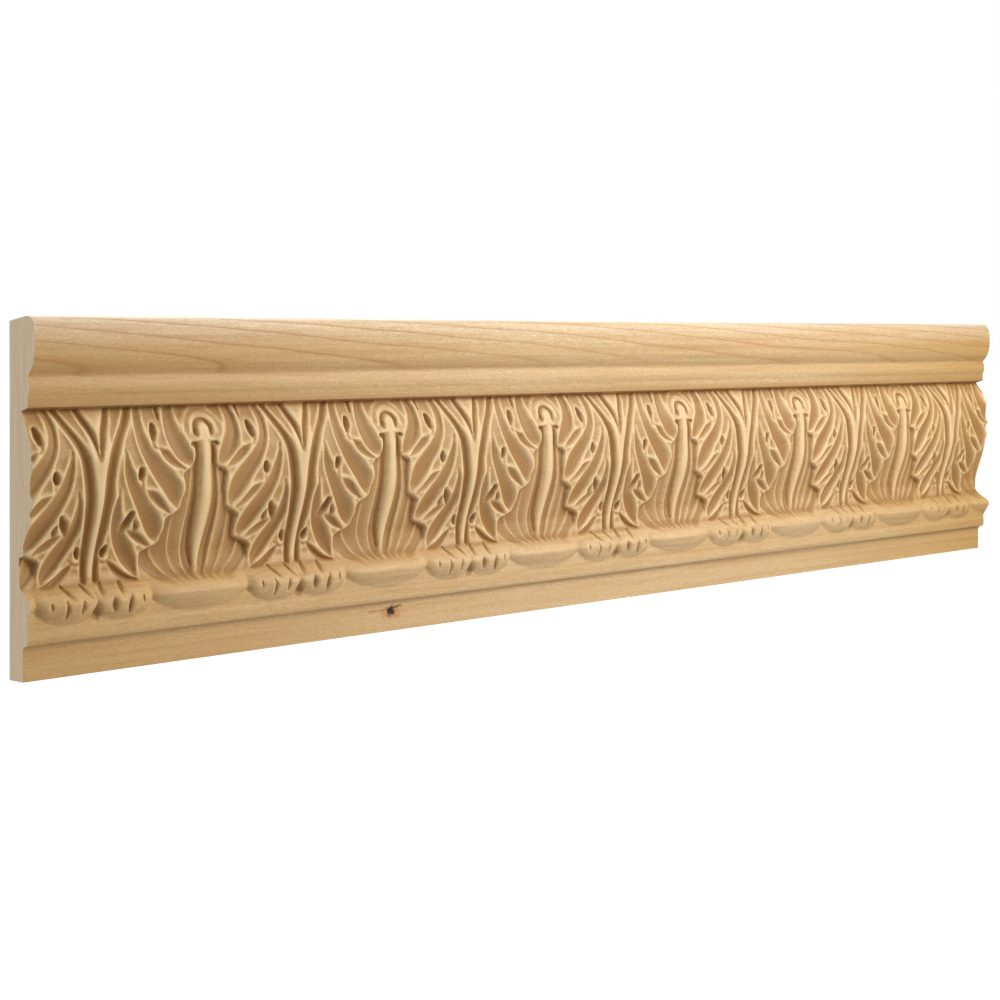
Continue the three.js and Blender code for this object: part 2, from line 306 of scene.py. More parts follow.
@dataclass(frozen=True)
class Leaf:
    """The leaf of one half repeat, measured across from the middle of the forked stem."""

    groove: float = 3.5
    lobe: float = 3.3
    fork: float = 2.9
    nick: float = 2.6
    eye: float = 4.2
    tail: float = 1.5
    groove_lean: float = 0.1
    lobe_lean: float = 0.4
    fork_lean: float = 0.2
    nick_lean: float = 0.2
    edge_spread: tuple[float, ...] = (-0.9, -0.45, 0.0, 0.45, 0.9)

    def gouges(self) -> list[Gouge]:
        """Lists the cuts of the half leaf."""
        return self.stem() + self.lobes() + self.nicks() + self.eyes()

    def stem(self) -> list[Gouge]:
        """Lists the cuts that leave the forked stem standing."""
        fork = ((9.1, 116, 2.6), (5.9, 109, 3.8), (3.1, 103.5, 3.6), (1.4, 98, 2.2), (0.3, 91.5, 0.5))
        beside = (
            (20.5, 116, 3.4), (15.2, 107, 4.2), (11.2, 101, 4.8), (8.1, 95, 5.2), (6.3, 88, 5.6),
            (5.2, 80, 5.8), (4.5, 70, 5.6), (3.9, 60, 4.6), (3.5, 50, 3.8), (3.1, 39.5, 3.0),
        )
        return [
            Gouge(fork, self.fork, Hollow.ROUND, self.fork_lean),
            Gouge(beside, self.groove, Hollow.ROUND, self.groove_lean),
        ]

    def lobes(self) -> list[Gouge]:
        """Lists the cuts that hollow the lobes, each deepest along the side nearer the stem."""
        crown = (
            (42.3, 117, 4.0), (40.1, 108, 7.4), (40.8, 101.5, 9.6), (43.8, 95.8, 10.2),
            (47.2, 91.4, 7.8), (50.2, 87.4, 1.6),
        )
        second = (
            (25.4, 117, 3.6), (22.7, 107, 5.0), (23.5, 98.6, 6.0), (27.7, 91.4, 8.0),
            (33.4, 84.8, 10.2), (38.6, 78.8, 10.8), (41.6, 73.2, 8.0), (42.8, 68.4, 1.6),
        )
        third = (
            (13.7, 96.5, 0.8), (15.1, 88, 4.8), (17.5, 81.4, 6.8), (21.7, 74.6, 8.4), (26.8, 67.8, 9.8),
            (30.8, 62, 9.8), (33.6, 57.2, 6.8), (35, 53.4, 1.4),
        )
        fourth = (
            (10.6, 79, 0.6), (10.1, 70.5, 4.8), (11.1, 63.5, 6.6), (13.9, 57.6, 8.2), (17.7, 51.9, 9.0),
            (21.3, 46.8, 8.0), (23.6, 43.0, 4.8), (24.4, 40.4, 1.2),
        )
        cuts = (crown, second, third, fourth)
        return [Gouge(cut, self.lobe, Hollow.BROAD, self.lobe_lean) for cut in cuts]

    def nicks(self) -> list[Gouge]:
        """Lists the short cuts under the tips of the lobes and at the top edge."""
        cuts = (
            ((31.6, 96.2, 1.0), (35.4, 93.4, 4.8), (39.6, 90.0, 4.6), (45.6, 86.2, 0.9)),
            ((24.6, 78.0, 1.0), (28.4, 75.6, 4.6), (32.6, 71.8, 4.2), (38.6, 67.2, 0.8)),
            ((16.8, 60.6, 1.0), (21.0, 58.6, 3.8), (25.2, 56.0, 3.8), (30.8, 52.4, 0.8)),
            ((8.8, 48, 0.8), (12.4, 44.7, 3.2), (16.2, 41.6, 3.4), (20.6, 39.4, 2.4), (25, 38.4, 0.7)),
            ((35, 116, 3.0), (34.4, 108.6, 0.7)),
            ((20.2, 65.0, 1.6), (21.2, 62.0, 3.2), (20.6, 59.8, 1.2)),
        )
        return [Gouge(cut, self.nick, Hollow.BROAD, self.nick_lean) for cut in cuts]

    def eyes(self) -> list[Gouge]:
        """Lists the deep drilled eyes, and the tails that run out of some of them."""
        eyes = (
            ((29.2, 100.2, 2.4), (29.8, 103.2, 4.0), (30.4, 106.0, 2.8)),
            ((21.7, 83.4, 2.6), (22.0, 85.2, 3.6), (22.2, 87.0, 2.6)),
            ((14.0, 60.6, 2.4), (16.2, 64.5, 4.2), (18.1, 68.2, 2.8)),
            ((6.3, 50.2, 2.0), (6.9, 52.3, 3.0), (7.4, 54.2, 1.8)),
        )
        tails = (
            ((28.9, 100.4, 1.8), (28.8, 97.2, 2.4), (31, 95.6, 0.8)),
            ((21.8, 83.6, 1.8), (22.4, 80.6, 2.4), (20.4, 76.8, 0.8)),
            ((3.8, 49.2, 1.2), (7.4, 46.9, 2.2), (10.8, 49.2, 1.0)),
        )
        drilled = [Gouge(cut, self.eye, Hollow.FLAT) for cut in eyes]
        return drilled + [Gouge(cut, self.tail, Hollow.ROUND) for cut in tails]

    def edge(self, up: Grid) -> Grid:
        """Gives the wavy edge that the lobes stand over the shell with.

        Args:
            up: heights above the foot.

        Returns:
            The distance of the edge from the stem's middle line at each height.
        """
        tips = (
            (99.5, 57.2), (98.2, 51.2), (92.0, 51.4), (87.6, 50.4), (85.8, 46.6), (84.2, 44.2),
            (81.0, 45.4), (77.0, 45.8), (73.0, 44.4), (68.4, 43.8), (66.2, 39.4), (64.4, 36.2),
            (61.0, 37.2), (57.0, 36.2), (53.6, 35.8), (51.4, 29.4), (49.8, 25.6), (47.0, 26.2),
            (43.4, 25.8), (40.0, 26.6), (37.0, 28.4),
        )
        heights, places = np.array(tips[::-1]).T
        return np.mean([np.interp(up + shift, heights, places) for shift in self.edge_spread], axis=0)


@dataclass(frozen=True)
class Shell:
    """The fluted shell and the rosette of one half repeat, measured from their own middle line."""

    sunk: float = 1.3
    barrel: float = 1.4
    flute: float = 1.9
    flute_lean: float = -0.5
    rib: float = 0.7
    rib_width: float = 1.5
    stem_round: float = 1.5
    stem_groove: float = 2.4
    stem_edge: float = 0.8
    barrel_reach: float = 24.0
    barrel_most: float = 1.2
    foot: float = 37.0
    run_out: float = 12.0
    rosette_up: float = 103.5
    knob_groove_radius: float = 4.7
    knob_groove: float = 2.6
    ring_radius: float = 9.4
    arc_start: float = 20.0  # degrees past the middle line at which the arcs start
    ring: float = 1.2
    shoulder: float = 2.8
    leg: float = 1.0
    pit: float = 3.4

    def ribs(self) -> list[Grid]:
        """Gives the crest of each rib at the same number of stations, from the stem outwards."""
        ribs = (
            ((3.6, 97), (3.3, 87), (3.7, 77), (4.0, 67), (3.5, 57), (2.6, 48), (1.7, 41.5), (0.9, 37)),
            ((7, 97), (7.3, 87), (8.1, 77), (8.8, 67), (8.8, 57), (8, 48), (6.3, 41.5), (3.9, 37)),
            ((13.4, 82), (13.8, 76), (15, 70), (16, 63), (16.1, 55), (14.8, 47.5), (12, 41.5), (8.4, 37)),
        )
        fourth = ((20.6, 65), (22.2, 61), (24.2, 57), (25, 53), (24.2, 48.8), (21.8, 44.5))
        fourth += ((17.8, 40.4), (12.8, 37))
        fifth = ((30, 52.4), (31.6, 51), (32.4, 49.4), (32.4, 47.4), (31, 45), (28, 42.4))
        fifth += ((24, 39.6), (19, 37))
        return [np.array(rib, dtype=float) for rib in (*ribs, fourth, fifth)]

    def flutes(self) -> list[Gouge]:
        """Lists the hollow flutes, each of them filling the space between two ribs."""
        ribs = self.ribs()
        flutes = []
        for inner, outer in zip(ribs, ribs[1:]):
            middle = (inner + outer) / 2
            width = np.linalg.norm(outer - inner, axis=1)
            stations = tuple((x, z, w) for (x, z), w in zip(middle.tolist(), width.tolist()))
            flutes.append(Gouge(stations, self.flute, Hollow.ROUND, self.flute_lean))
        return flutes

    def carve(self, from_shell: Grid, up: Grid, bare: Grid) -> Grid:
        """Works out how deep the shell lies, its flutes and the groove beside its stem included.

        Args:
            from_shell: distance of each place from the shell's middle line.
            up: height of each place.
            bare: 1 where the shell isn't covered by the leaf, 0 where it is.

        Returns:
            The depth at each place, and 0 outside the shell.
        """
        stem = self.ribs()[0][::-1]
        stem_side = np.interp(up, stem[:, 1], stem[:, 0])
        run_out = np.clip((up - self.foot) / self.run_out, 0, 1)
        beyond = np.clip((from_shell - stem_side) / self.stem_edge, 0, 1)
        turned = self.barrel * np.clip(from_shell / self.barrel_reach, 0, self.barrel_most) ** 1.5
        ground = (self.sunk + turned) * beyond
        rounded = self.stem_round * np.clip(from_shell / stem_side, 0, 1) ** 2
        fluted = np.zeros_like(up)
        for flute in [*self.flutes(), self.beside_stem()]:
            fluted = np.maximum(fluted, flute.carve(from_shell, up))
        for rib in self.ribs()[1:4]:
            stations = tuple((x, z, self.rib_width) for x, z in rib.tolist())
            fluted = fluted - Gouge(stations, self.rib, Hollow.ROUND).carve(from_shell, up)
        return bare * np.maximum(np.maximum(ground, rounded) * run_out + fluted, 0)

    def beside_stem(self) -> Gouge:
        """Gives the groove that leaves the shell's stem standing."""
        upper = ((5.9, 97.4, 4.2), (5.8, 92, 4.2), (5.6, 84, 3.4), (5.9, 74, 3.2))
        lower = ((5.6, 63, 3.0), (4.4, 52, 2.4), (2.2, 42, 1.6))
        return Gouge(upper + lower, self.stem_groove, Hollow.BROAD, lean=-0.2)

    def rosette(self) -> list[Gouge]:
        """Lists the arcs round the knob, each from its foot up to the middle line."""
        inner = self.arc(self.knob_groove_radius, sweep=122, top_width=1.9, foot_width=3.2)
        outer = self.arc(self.ring_radius, sweep=104, top_width=2.8, foot_width=3.4)
        shoulder = ((4.9, 97.2, 2.4), (5.9, 97.3, 2.4), (6.9, 97.2, 2.4))
        leg = ((12.8, 106, 1.0), (12.2, 101, 2.0), (9.4, 97, 2.0), (8.6, 92, 0.8))
        return [
            Gouge(inner, self.knob_groove, Hollow.ROUND, lean=0.2),
            Gouge(outer, self.ring, Hollow.ROUND),
            Gouge(shoulder, self.shoulder, Hollow.FLAT),
            Gouge(leg, self.leg, Hollow.ROUND),
        ]

    def pits(self) -> list[Gouge]:
        """Lists the deep pits under the tips of the lobes."""
        cuts = (
            ((7.2, 86, 1.2), (9.6, 85.0, 2.8), (11.8, 83.2, 1.0)),
            ((13.4, 66.8, 1.0), (16.8, 65.2, 2.8), (20.2, 63, 0.9)),
            ((21.8, 52.6, 1.0), (25.6, 51.2, 2.6), (29.4, 49.4, 0.9)),
        )
        return [Gouge(cut, self.pit, Hollow.ROUND) for cut in cuts]

    def arc(self, radius: float, sweep: float, top_width: float, foot_width: float) -> tuple[Station, ...]:
        """Gives stations on an arc about the knob.

        Args:
            radius: the arc's radius.
            sweep: how far it goes from straight up, in degrees.
            top_width: its width at the top.
            foot_width: its width near the foot.

        Returns:
            Its stations, from a little past the middle line down to its foot.
        """
        stations = []
        for step in range(ARC_STEPS + 1):
            share = step / ARC_STEPS
            angle = math.radians(-self.arc_start + (sweep + self.arc_start) * share)
            place = (radius * math.sin(angle), self.rosette_up + radius * math.cos(angle))
            width = top_width + (foot_width - top_width) * share
            stations.append((*place, width if step < ARC_STEPS else width / 2))
        return tuple(stations)


@dataclass(frozen=True)
class BossRow:
    """The row of round bosses: a bowl under each shell, and a pair of toed lobes under each stem."""

    depth: float
    foot: float = 22.2
    lip: float = 31.6
    top: float = 39.0
    bowl_length: float = 28.0
    toe_middle: float = 14.0
    toe_length: float = 16.6
    toe_foot: float = 22.4
    toe_lip: float = 31.2
    bowl_round: float = 1.6
    toe_round: float = 2.1
    toe_waves: float = 0.1
    toe_step: float = 16.2
    settle: float = 1.35
    nick: float = 2.2
    dimple: float = 1.4

    def stands(self, face: Grid, across: Grid, from_shell: Grid, up: Grid) -> Grid:
        """Gives how far the bosses stand in front of the back.

        Args:
            face: the depth of the uncarved face at each place.
            across: distance of each place from the stem's middle line.
            from_shell: distance of each place from the shell's middle line.
            up: height of each place.

        Returns:
            The depth of the bosses at each place, and of the face outside them.
        """
        bowl = self.swell(from_shell / self.bowl_length, up, self.foot, self.lip, self.bowl_round)
        beside = (across - self.toe_middle) / self.toe_length
        toes = self.swell(beside, up, self.toe_foot, self.toe_lip, self.toe_round)
        wave = np.cos(math.tau * (across - self.toe_middle) / self.toe_step) ** 2
        toes = toes * (1 - self.toe_waves * wave)
        return face + (self.depth - face) * np.maximum(bowl, toes)

    def swell(self, share: Grid, up: Grid, foot: float, lip: float, roundness: float) -> Grid:
        """Gives one boss: round underneath, and sloped back from its lip to the carving above.

        Args:
            share: distance of each place from the boss's middle, as a share of half its length.
            up: height of each place.
            foot: the boss's lowest point.
            lip: height of its most forward line.
            roundness: the power that its underside falls away with.

        Returns:
            How proud it is, from 0 to 1.
        """
        along = np.sqrt(np.clip(1 - share**2, 0, 1))
        low = lip - (lip - foot) * along ** (2 / roundness)
        under = np.clip((lip - up) / np.maximum(lip - low, 0.01), 0, 1)
        over = np.clip((up - lip) / (self.top - lip), 0, 1)
        sloped = 0.5 * (1 - over**1.5) + 0.5 * (0.5 + 0.5 * np.cos(np.pi * over))
        return along * np.where(up < lip, (1 - under**roundness) ** self.settle, sloped)

    def gouges(self) -> list[Gouge]:
        """Lists the nicks between the toes, measured across from the stem's middle line."""
        upper = ((5.2, 2.6), (15.2, 12.4))
        cuts = [
            ((top, 38.8, 0.9), ((top + foot) / 2, 36.0, 2.2), (foot, 33.2, 0.8)) for top, foot in upper
        ]
        cuts.append(((7.8, 32.6, 1.0), (8.0, 29.6, 3.0), (8.4, 27, 1.2)))
        cuts.append(((16.8, 33.2, 0.8), (16.0, 29.2, 2.0), (16.4, 25.4, 0.7)))
        cuts.append(((23.8, 32.6, 0.5), (23.6, 31.2, 1.1), (23.8, 29.6, 0.5)))
        nicks = [Gouge(cut, self.nick, Hollow.ROUND) for cut in cuts]
        dimple = ((-0.5, 30.0, 3.0), (0, 27.0, 6.5), (0.5, 24.0, 3.0))
        return [*nicks, Gouge(dimple, self.dimple, Hollow.ROUND)]


@dataclass(frozen=True)
class ShadingAndCutTone:
    """How brown each place is painted: the shares that hollows, cuts and shade add, partly cut-wood tone,
    partly painted shade.
    """

    plain: float = 0.3
    near: float = 0.42
    near_reach: float = 1.2
    wide: float = 0.26
    wide_reach: float = 3.2
    cut: float = 0.11
    # painted shade under the overhanging fillet, along the top of the band
    fillet: float = 0.5
    fillet_shade_reach: float = 1.6
    shell_pale: float = 0.11
    shell_least: float = 0.36
    boss_top: float = 39.0
    boss_fade: float = 3.0
    boss_range: Point = (0.18, 0.33)
    blur: float = 0.3

    def spread(self, carved: Grid, cut: Grid, bare: Grid, up: Grid, top: float, cell: float) -> Grid:
        """Works out the painted shading and cut tone of a carved grid.

        Args:
            carved: the depth of each place in front of the back.
            cut: how deep it was cut.
            bare: 1 on the bare shell.
            up: its height.
            top: height of the shaded upper edge of the band.
            cell: the grid's spacing.

        Returns:
            The painted shading and cut tone at each place, from 0 to 1.
        """
        # hollows and deep cuts turn browner: partly the cut wood's darker tone, partly painted shade like
        # occlusion
        near = soften(carved, self.near_reach / cell) - carved
        wide = soften(carved, self.wide_reach / cell) - carved
        # painted shade: the top of the band browner under the fillet
        shade = np.clip((up - top + self.fillet_shade_reach) / self.fillet_shade_reach, 0, 1)
        added = self.near * near + self.wide * wide + self.cut * cut + self.fillet * shade
        shading_and_cut_tone = np.clip(self.plain + added, 0, 1)
        paler = np.maximum(shading_and_cut_tone - self.shell_pale * bare, self.shell_least)
        shading_and_cut_tone = np.where(shading_and_cut_tone > self.shell_least, paler, shading_and_cut_tone)
        boss = np.clip((self.boss_top - up) / self.boss_fade, 0, 1) * np.clip(1 - cut, 0, 1)
        shading_and_cut_tone = shading_and_cut_tone + boss * (np.clip(shading_and_cut_tone, *self.boss_range) - shading_and_cut_tone)
        return soften(shading_and_cut_tone, self.blur / cell)


@dataclass(frozen=True)
class Cup:
    """The shallow cupping of the leaf between its cuts, and where it stops."""

    depth: float = 1.7
    rim: float = 1.4
    full_cut: float = 0.6
    strength: Point = (1.15, 2.3)
    stem_side: float = 3.4
    stem_flare: float = 0.06
    stem_flare_from: float = 70.0
    stem_fade: float = 2.0
    boss_top: float = 41.0
    boss_fade: float = 5.0
    knob_side: float = 4.5

    def carve(self, edges: Grid, across: Grid, up: Grid, from_knob: Grid) -> Grid:
        """Works out how much deeper the cupping goes.

        Args:
            edges: how near each place is to a cut, from 0 to 1.
            across: distance of each place from the stem's middle line.
            up: height of each place.
            from_knob: its distance from the middle of the rosette.

        Returns:
            The depth of the cupping at each place.
        """
        side = across - self.stem_side - self.stem_flare * np.clip(up - self.stem_flare_from, 0, None)
        off_stem = np.clip(side / self.stem_fade, 0, 1)
        off_boss = np.clip((up - self.boss_top) / self.boss_fade, 0, 1)
        off_knob = np.clip(from_knob - self.knob_side, 0, 1)
        inside = np.clip(self.strength[0] - self.strength[1] * edges, 0, 1)
        return self.depth * inside * off_stem * off_boss * off_knob


@dataclass
class Carving:
    """The carved band of one half repeat, as a fine mesh thinned where it is flat."""

    section: Section
    half_repeat: float
    leaf: Leaf = field(default_factory=Leaf)
    shell: Shell = field(default_factory=Shell)
    bosses: BossRow | None = None
    shading_and_cut_tone: ShadingAndCutTone = field(default_factory=ShadingAndCutTone)
    cup: Cup = field(default_factory=Cup)
    cell: float = 0.36
    edge_wear: float = 0.24
    leaf_edge: float = 0.9
    crest_round: float = 0.8
    crest_slack: float = 0.14
    faces: int = 12900

    def __post_init__(self) -> None:
        """Sets up the grid that the carving is worked out on."""
        if self.bosses is None:
            self.bosses = BossRow(depth=self.section.nose_depth)
        columns = int(round(self.half_repeat / self.cell)) + 1
        rows = int(round((self.section.band_top - self.section.band_foot) / self.cell)) + 1
        self.columns = np.linspace(0, self.half_repeat, columns)
        self.rows = np.linspace(self.section.band_foot, self.section.band_top, rows)

    def heights(self) -> tuple[Grid, Grid]:
        """Works out the carved surface on the grid.

        Returns:
            Its depth in front of the back, and its painted shading and cut tone, both with a row for each
            height.
        """
        across, up = np.meshgrid(self.columns, self.rows)
        from_shell = self.half_repeat - across
        bare = np.clip((across - self.leaf.edge(up)) / self.leaf_edge, 0, 1)
        cut = self.cuts(across, up, bare)
        edges = soften(np.clip(np.maximum(cut / self.cup.full_cut, bare), 0, 1), self.cup.rim / self.cell)
        from_knob = np.hypot(from_shell, up - self.shell.rosette_up)
        cut = cut + self.cup.carve(edges, across, up, from_knob)
        face = self.section.face_depth(up)
        stands = self.bosses.stands(face, across, from_shell, up)
        carved = soften(stands - cut, self.edge_wear / self.cell)
        rounded = soften(carved, self.crest_round / self.cell) + self.crest_slack
        carved = np.minimum(carved, rounded)
        carved[0] = self.section.boss_ground
        return carved, self.shading_and_cut_tone.spread(carved, cut, bare, up, self.section.band_top, self.cell)

    def cuts(self, across: Grid, up: Grid, bare: Grid) -> Grid:
        """Works out how deep the gouge cuts of the leaf, the bosses and the shell go.

        Args:
            across: distance of each place from the stem's middle line.
            up: height of each place.
            bare: 1 on the bare shell.

        Returns:
            The depth of the deepest cut at each place.
        """
        from_shell = self.half_repeat - across
        cut = self.shell.carve(from_shell, up, bare)
        for gouge in self.leaf.gouges() + self.bosses.gouges():
            cut = np.maximum(cut, gouge.carve(across, up))
        for gouge in self.shell.rosette() + self.shell.pits():
            cut = np.maximum(cut, gouge.carve(from_shell, up))
        return cut

    def mesh(self) -> bpy.types.Mesh:
        """Builds the half band as a mesh, thinned to its budget of faces.

        Returns:
            The mesh in metres, with the stem's middle line at x = 0 and the foot at z = 0.
        """
        carved, shading_and_cut_tone = self.heights()
        across, up = np.meshgrid(self.columns, self.rows)
        depth = np.vstack([carved, np.full(len(self.columns), self.section.fillet_depth)])
        height = np.vstack([up, np.full(len(self.columns), self.section.fillet_foot)])
        across = np.vstack([across, self.columns])
        # the quirk row under the fillet gets painted shade
        shading_and_cut_tone = np.vstack([shading_and_cut_tone, np.full(len(self.columns), QUIRK_SHADE)])
        verts = np.stack([across, -depth, height], axis=-1).reshape(-1, 3) * MM
        rows, columns = across.shape
        corner = (np.arange(rows - 1)[:, None] * columns + np.arange(columns - 1)).reshape(-1)
        quads = np.stack([corner, corner + 1, corner + columns + 1, corner + columns], axis=1)
        fine = mesh_from("half_band_fine", verts, quads)
        thin = self.thinned(fine)
        self.add_shading_and_cut_tone(thin, shading_and_cut_tone)
        return thin

    def thinned(self, fine: bpy.types.Mesh) -> bpy.types.Mesh:
        """Thins a mesh to the budget, and sets its two sides back on their planes.

        Args:
            fine: the fine mesh.

        Returns:
            The thinned mesh.
        """
        holder = placed("half_band", fine)
        modifier = holder.modifiers.new("thin", "DECIMATE")
        modifier.ratio = self.faces / (2 * len(fine.polygons))
        thin = applied(holder)
        self.square_edges(thin)
        return thin

    def square_edges(self, mesh: bpy.types.Mesh) -> None:
        """Sets the four edges of the thinned mesh back on their lines.

        Args:
            mesh: the thinned mesh, which is changed in place.
        """
        foot, top = self.section.band_foot * MM, self.section.fillet_foot * MM
        side = self.half_repeat * MM
        near = 0.5 * self.cell * MM
        work = bmesh.new()
        work.from_mesh(mesh)
        for vert in work.verts:
            if not vert.is_boundary:
                continue
            if vert.co.z > top - 0.5 * self.section.quirk_height * MM:
                vert.co.yz = (-self.section.fillet_depth * MM, top)
            elif vert.co.z < foot + near:
                vert.co.yz = (-self.section.boss_ground * MM, foot)
            if vert.co.x < near:
                vert.co.x = 0
            elif vert.co.x > side - near:
                vert.co.x = side
        work.to_mesh(mesh)
        work.free()

    def add_shading_and_cut_tone(self, mesh: bpy.types.Mesh, shading_and_cut_tone: Grid) -> None:
        """Stores the painted shading and cut tone on a mesh's vertices, read off the grid.

        Args:
            mesh: the mesh.
            shading_and_cut_tone: the values on the grid.
        """
        places = vertex_places(mesh) / MM
        share = places[:, 0] / self.columns[-1]
        column = np.clip(share * (len(self.columns) - 1), 0, len(self.columns) - 1 - INSIDE)
        share = (places[:, 2] - self.rows[0]) / (self.rows[-1] - self.rows[0])
        row = np.clip(share * (len(self.rows) - 1), 0, len(self.rows) - INSIDE)
        i, j = row.astype(int), column.astype(int)
        fi, fj = row - i, column - j
        top = shading_and_cut_tone[i, j] * (1 - fj) + shading_and_cut_tone[i, j + 1] * fj
        bottom = shading_and_cut_tone[np.minimum(i + 1, len(shading_and_cut_tone) - 1), j]
        values = top * (1 - fi) + bottom * fi
        attribute = mesh.attributes.new(SHADING_AND_CUT_TONE, "FLOAT", "POINT")
        attribute.data.foreach_set("value", values.astype(np.float32))


def mesh_from(name: str, verts: Grid, faces: Grid) -> bpy.types.Mesh:
    """Makes a mesh from arrays.

    Args:
        name: its name.
        verts: one row for each vertex.
        faces: one row of vertex indices for each face.

    Returns:
        The mesh.
    """
    mesh = bpy.data.meshes.new(name)
    mesh.from_pydata(verts.tolist(), [], faces.tolist())
    mesh.update()
    return mesh


def vertex_places(mesh: bpy.types.Mesh) -> Grid:
    """Gives the places of a mesh's vertices, one row each."""
    places = np.empty(len(mesh.vertices) * 3, dtype=np.float32)
    mesh.vertices.foreach_get("co", places)
    return places.reshape(-1, 3).astype(float)


def placed(name: str, data: bpy.types.ID) -> bpy.types.Object:
    """Makes an object and links it to the scene."""
    item = bpy.data.objects.new(name, data)
    bpy.context.scene.collection.objects.link(item)
    return item


def applied(holder: bpy.types.Object) -> bpy.types.Mesh:
    """Turns an object with modifiers into a plain mesh, and removes the object.

    Args:
        holder: the object.

    Returns:
        What its modifiers make of its mesh.
    """
    depsgraph = bpy.context.evaluated_depsgraph_get()
    mesh = bpy.data.meshes.new_from_object(holder.evaluated_get(depsgraph), depsgraph=depsgraph)
    bpy.data.objects.remove(holder)
    return mesh


class RepeatTree:
    """A Geometry Nodes tree that sets copies of a repeat side by side and welds them."""

    def __init__(self) -> None:
        """Builds the tree."""
        self.tree = bpy.data.node_groups.new("moulding_repeats", "GeometryNodeTree")
        face = self.tree.interface
        kinds = {"Repeat": "Geometry", "Count": "Int", "Pitch": "Float", "First": "Float", "Weld": "Float"}
        for name, kind in {**kinds, "Wood": "Material"}.items():
            face.new_socket(name, in_out="INPUT", socket_type=f"NodeSocket{kind}")
        face.new_socket("Run", in_out="OUTPUT", socket_type="NodeSocketGeometry")
        nodes, links = self.tree.nodes, self.tree.links
        inputs = nodes.new("NodeGroupInput")
        step = nodes.new("ShaderNodeCombineXYZ")
        start = nodes.new("ShaderNodeCombineXYZ")
        line = nodes.new("GeometryNodeMeshLine")
        line.mode = "OFFSET"
        copies = nodes.new("GeometryNodeInstanceOnPoints")
        real = nodes.new("GeometryNodeRealizeInstances")
        weld = nodes.new("GeometryNodeMergeByDistance")
        wood = nodes.new("GeometryNodeSetMaterial")
        output = nodes.new("NodeGroupOutput")
        links.new(inputs.outputs["Pitch"], step.inputs["X"])
        links.new(inputs.outputs["First"], start.inputs["X"])
        links.new(inputs.outputs["Count"], line.inputs["Count"])
        links.new(start.outputs[0], line.inputs["Start Location"])
        links.new(step.outputs[0], line.inputs["Offset"])
        links.new(line.outputs[0], copies.inputs["Points"])
        links.new(inputs.outputs["Repeat"], copies.inputs["Instance"])
        links.new(copies.outputs[0], real.inputs[0])
        links.new(real.outputs[0], weld.inputs["Geometry"])
        links.new(inputs.outputs["Weld"], weld.inputs["Distance"])
        links.new(weld.outputs[0], wood.inputs["Geometry"])
        links.new(inputs.outputs["Wood"], wood.inputs["Material"])
        links.new(wood.outputs[0], output.inputs[0])

    def run(self, repeat: bpy.types.Mesh, settings: dict[str, object]) -> bpy.types.Mesh:
        """Repeats a mesh.

        Args:
            repeat: the mesh of one repeat.
            settings: the tree's inputs, by name.

        Returns:
            The whole run as one plain mesh.
        """
        holder = placed("moulding_run", repeat)
        modifier = holder.modifiers.new("repeats", "NODES")
        modifier.node_group = self.tree
        for item in self.tree.interface.items_tree:
            if item.in_out == "INPUT" and item.name in settings:
                modifier[item.identifier] = settings[item.name]
        return applied(holder)


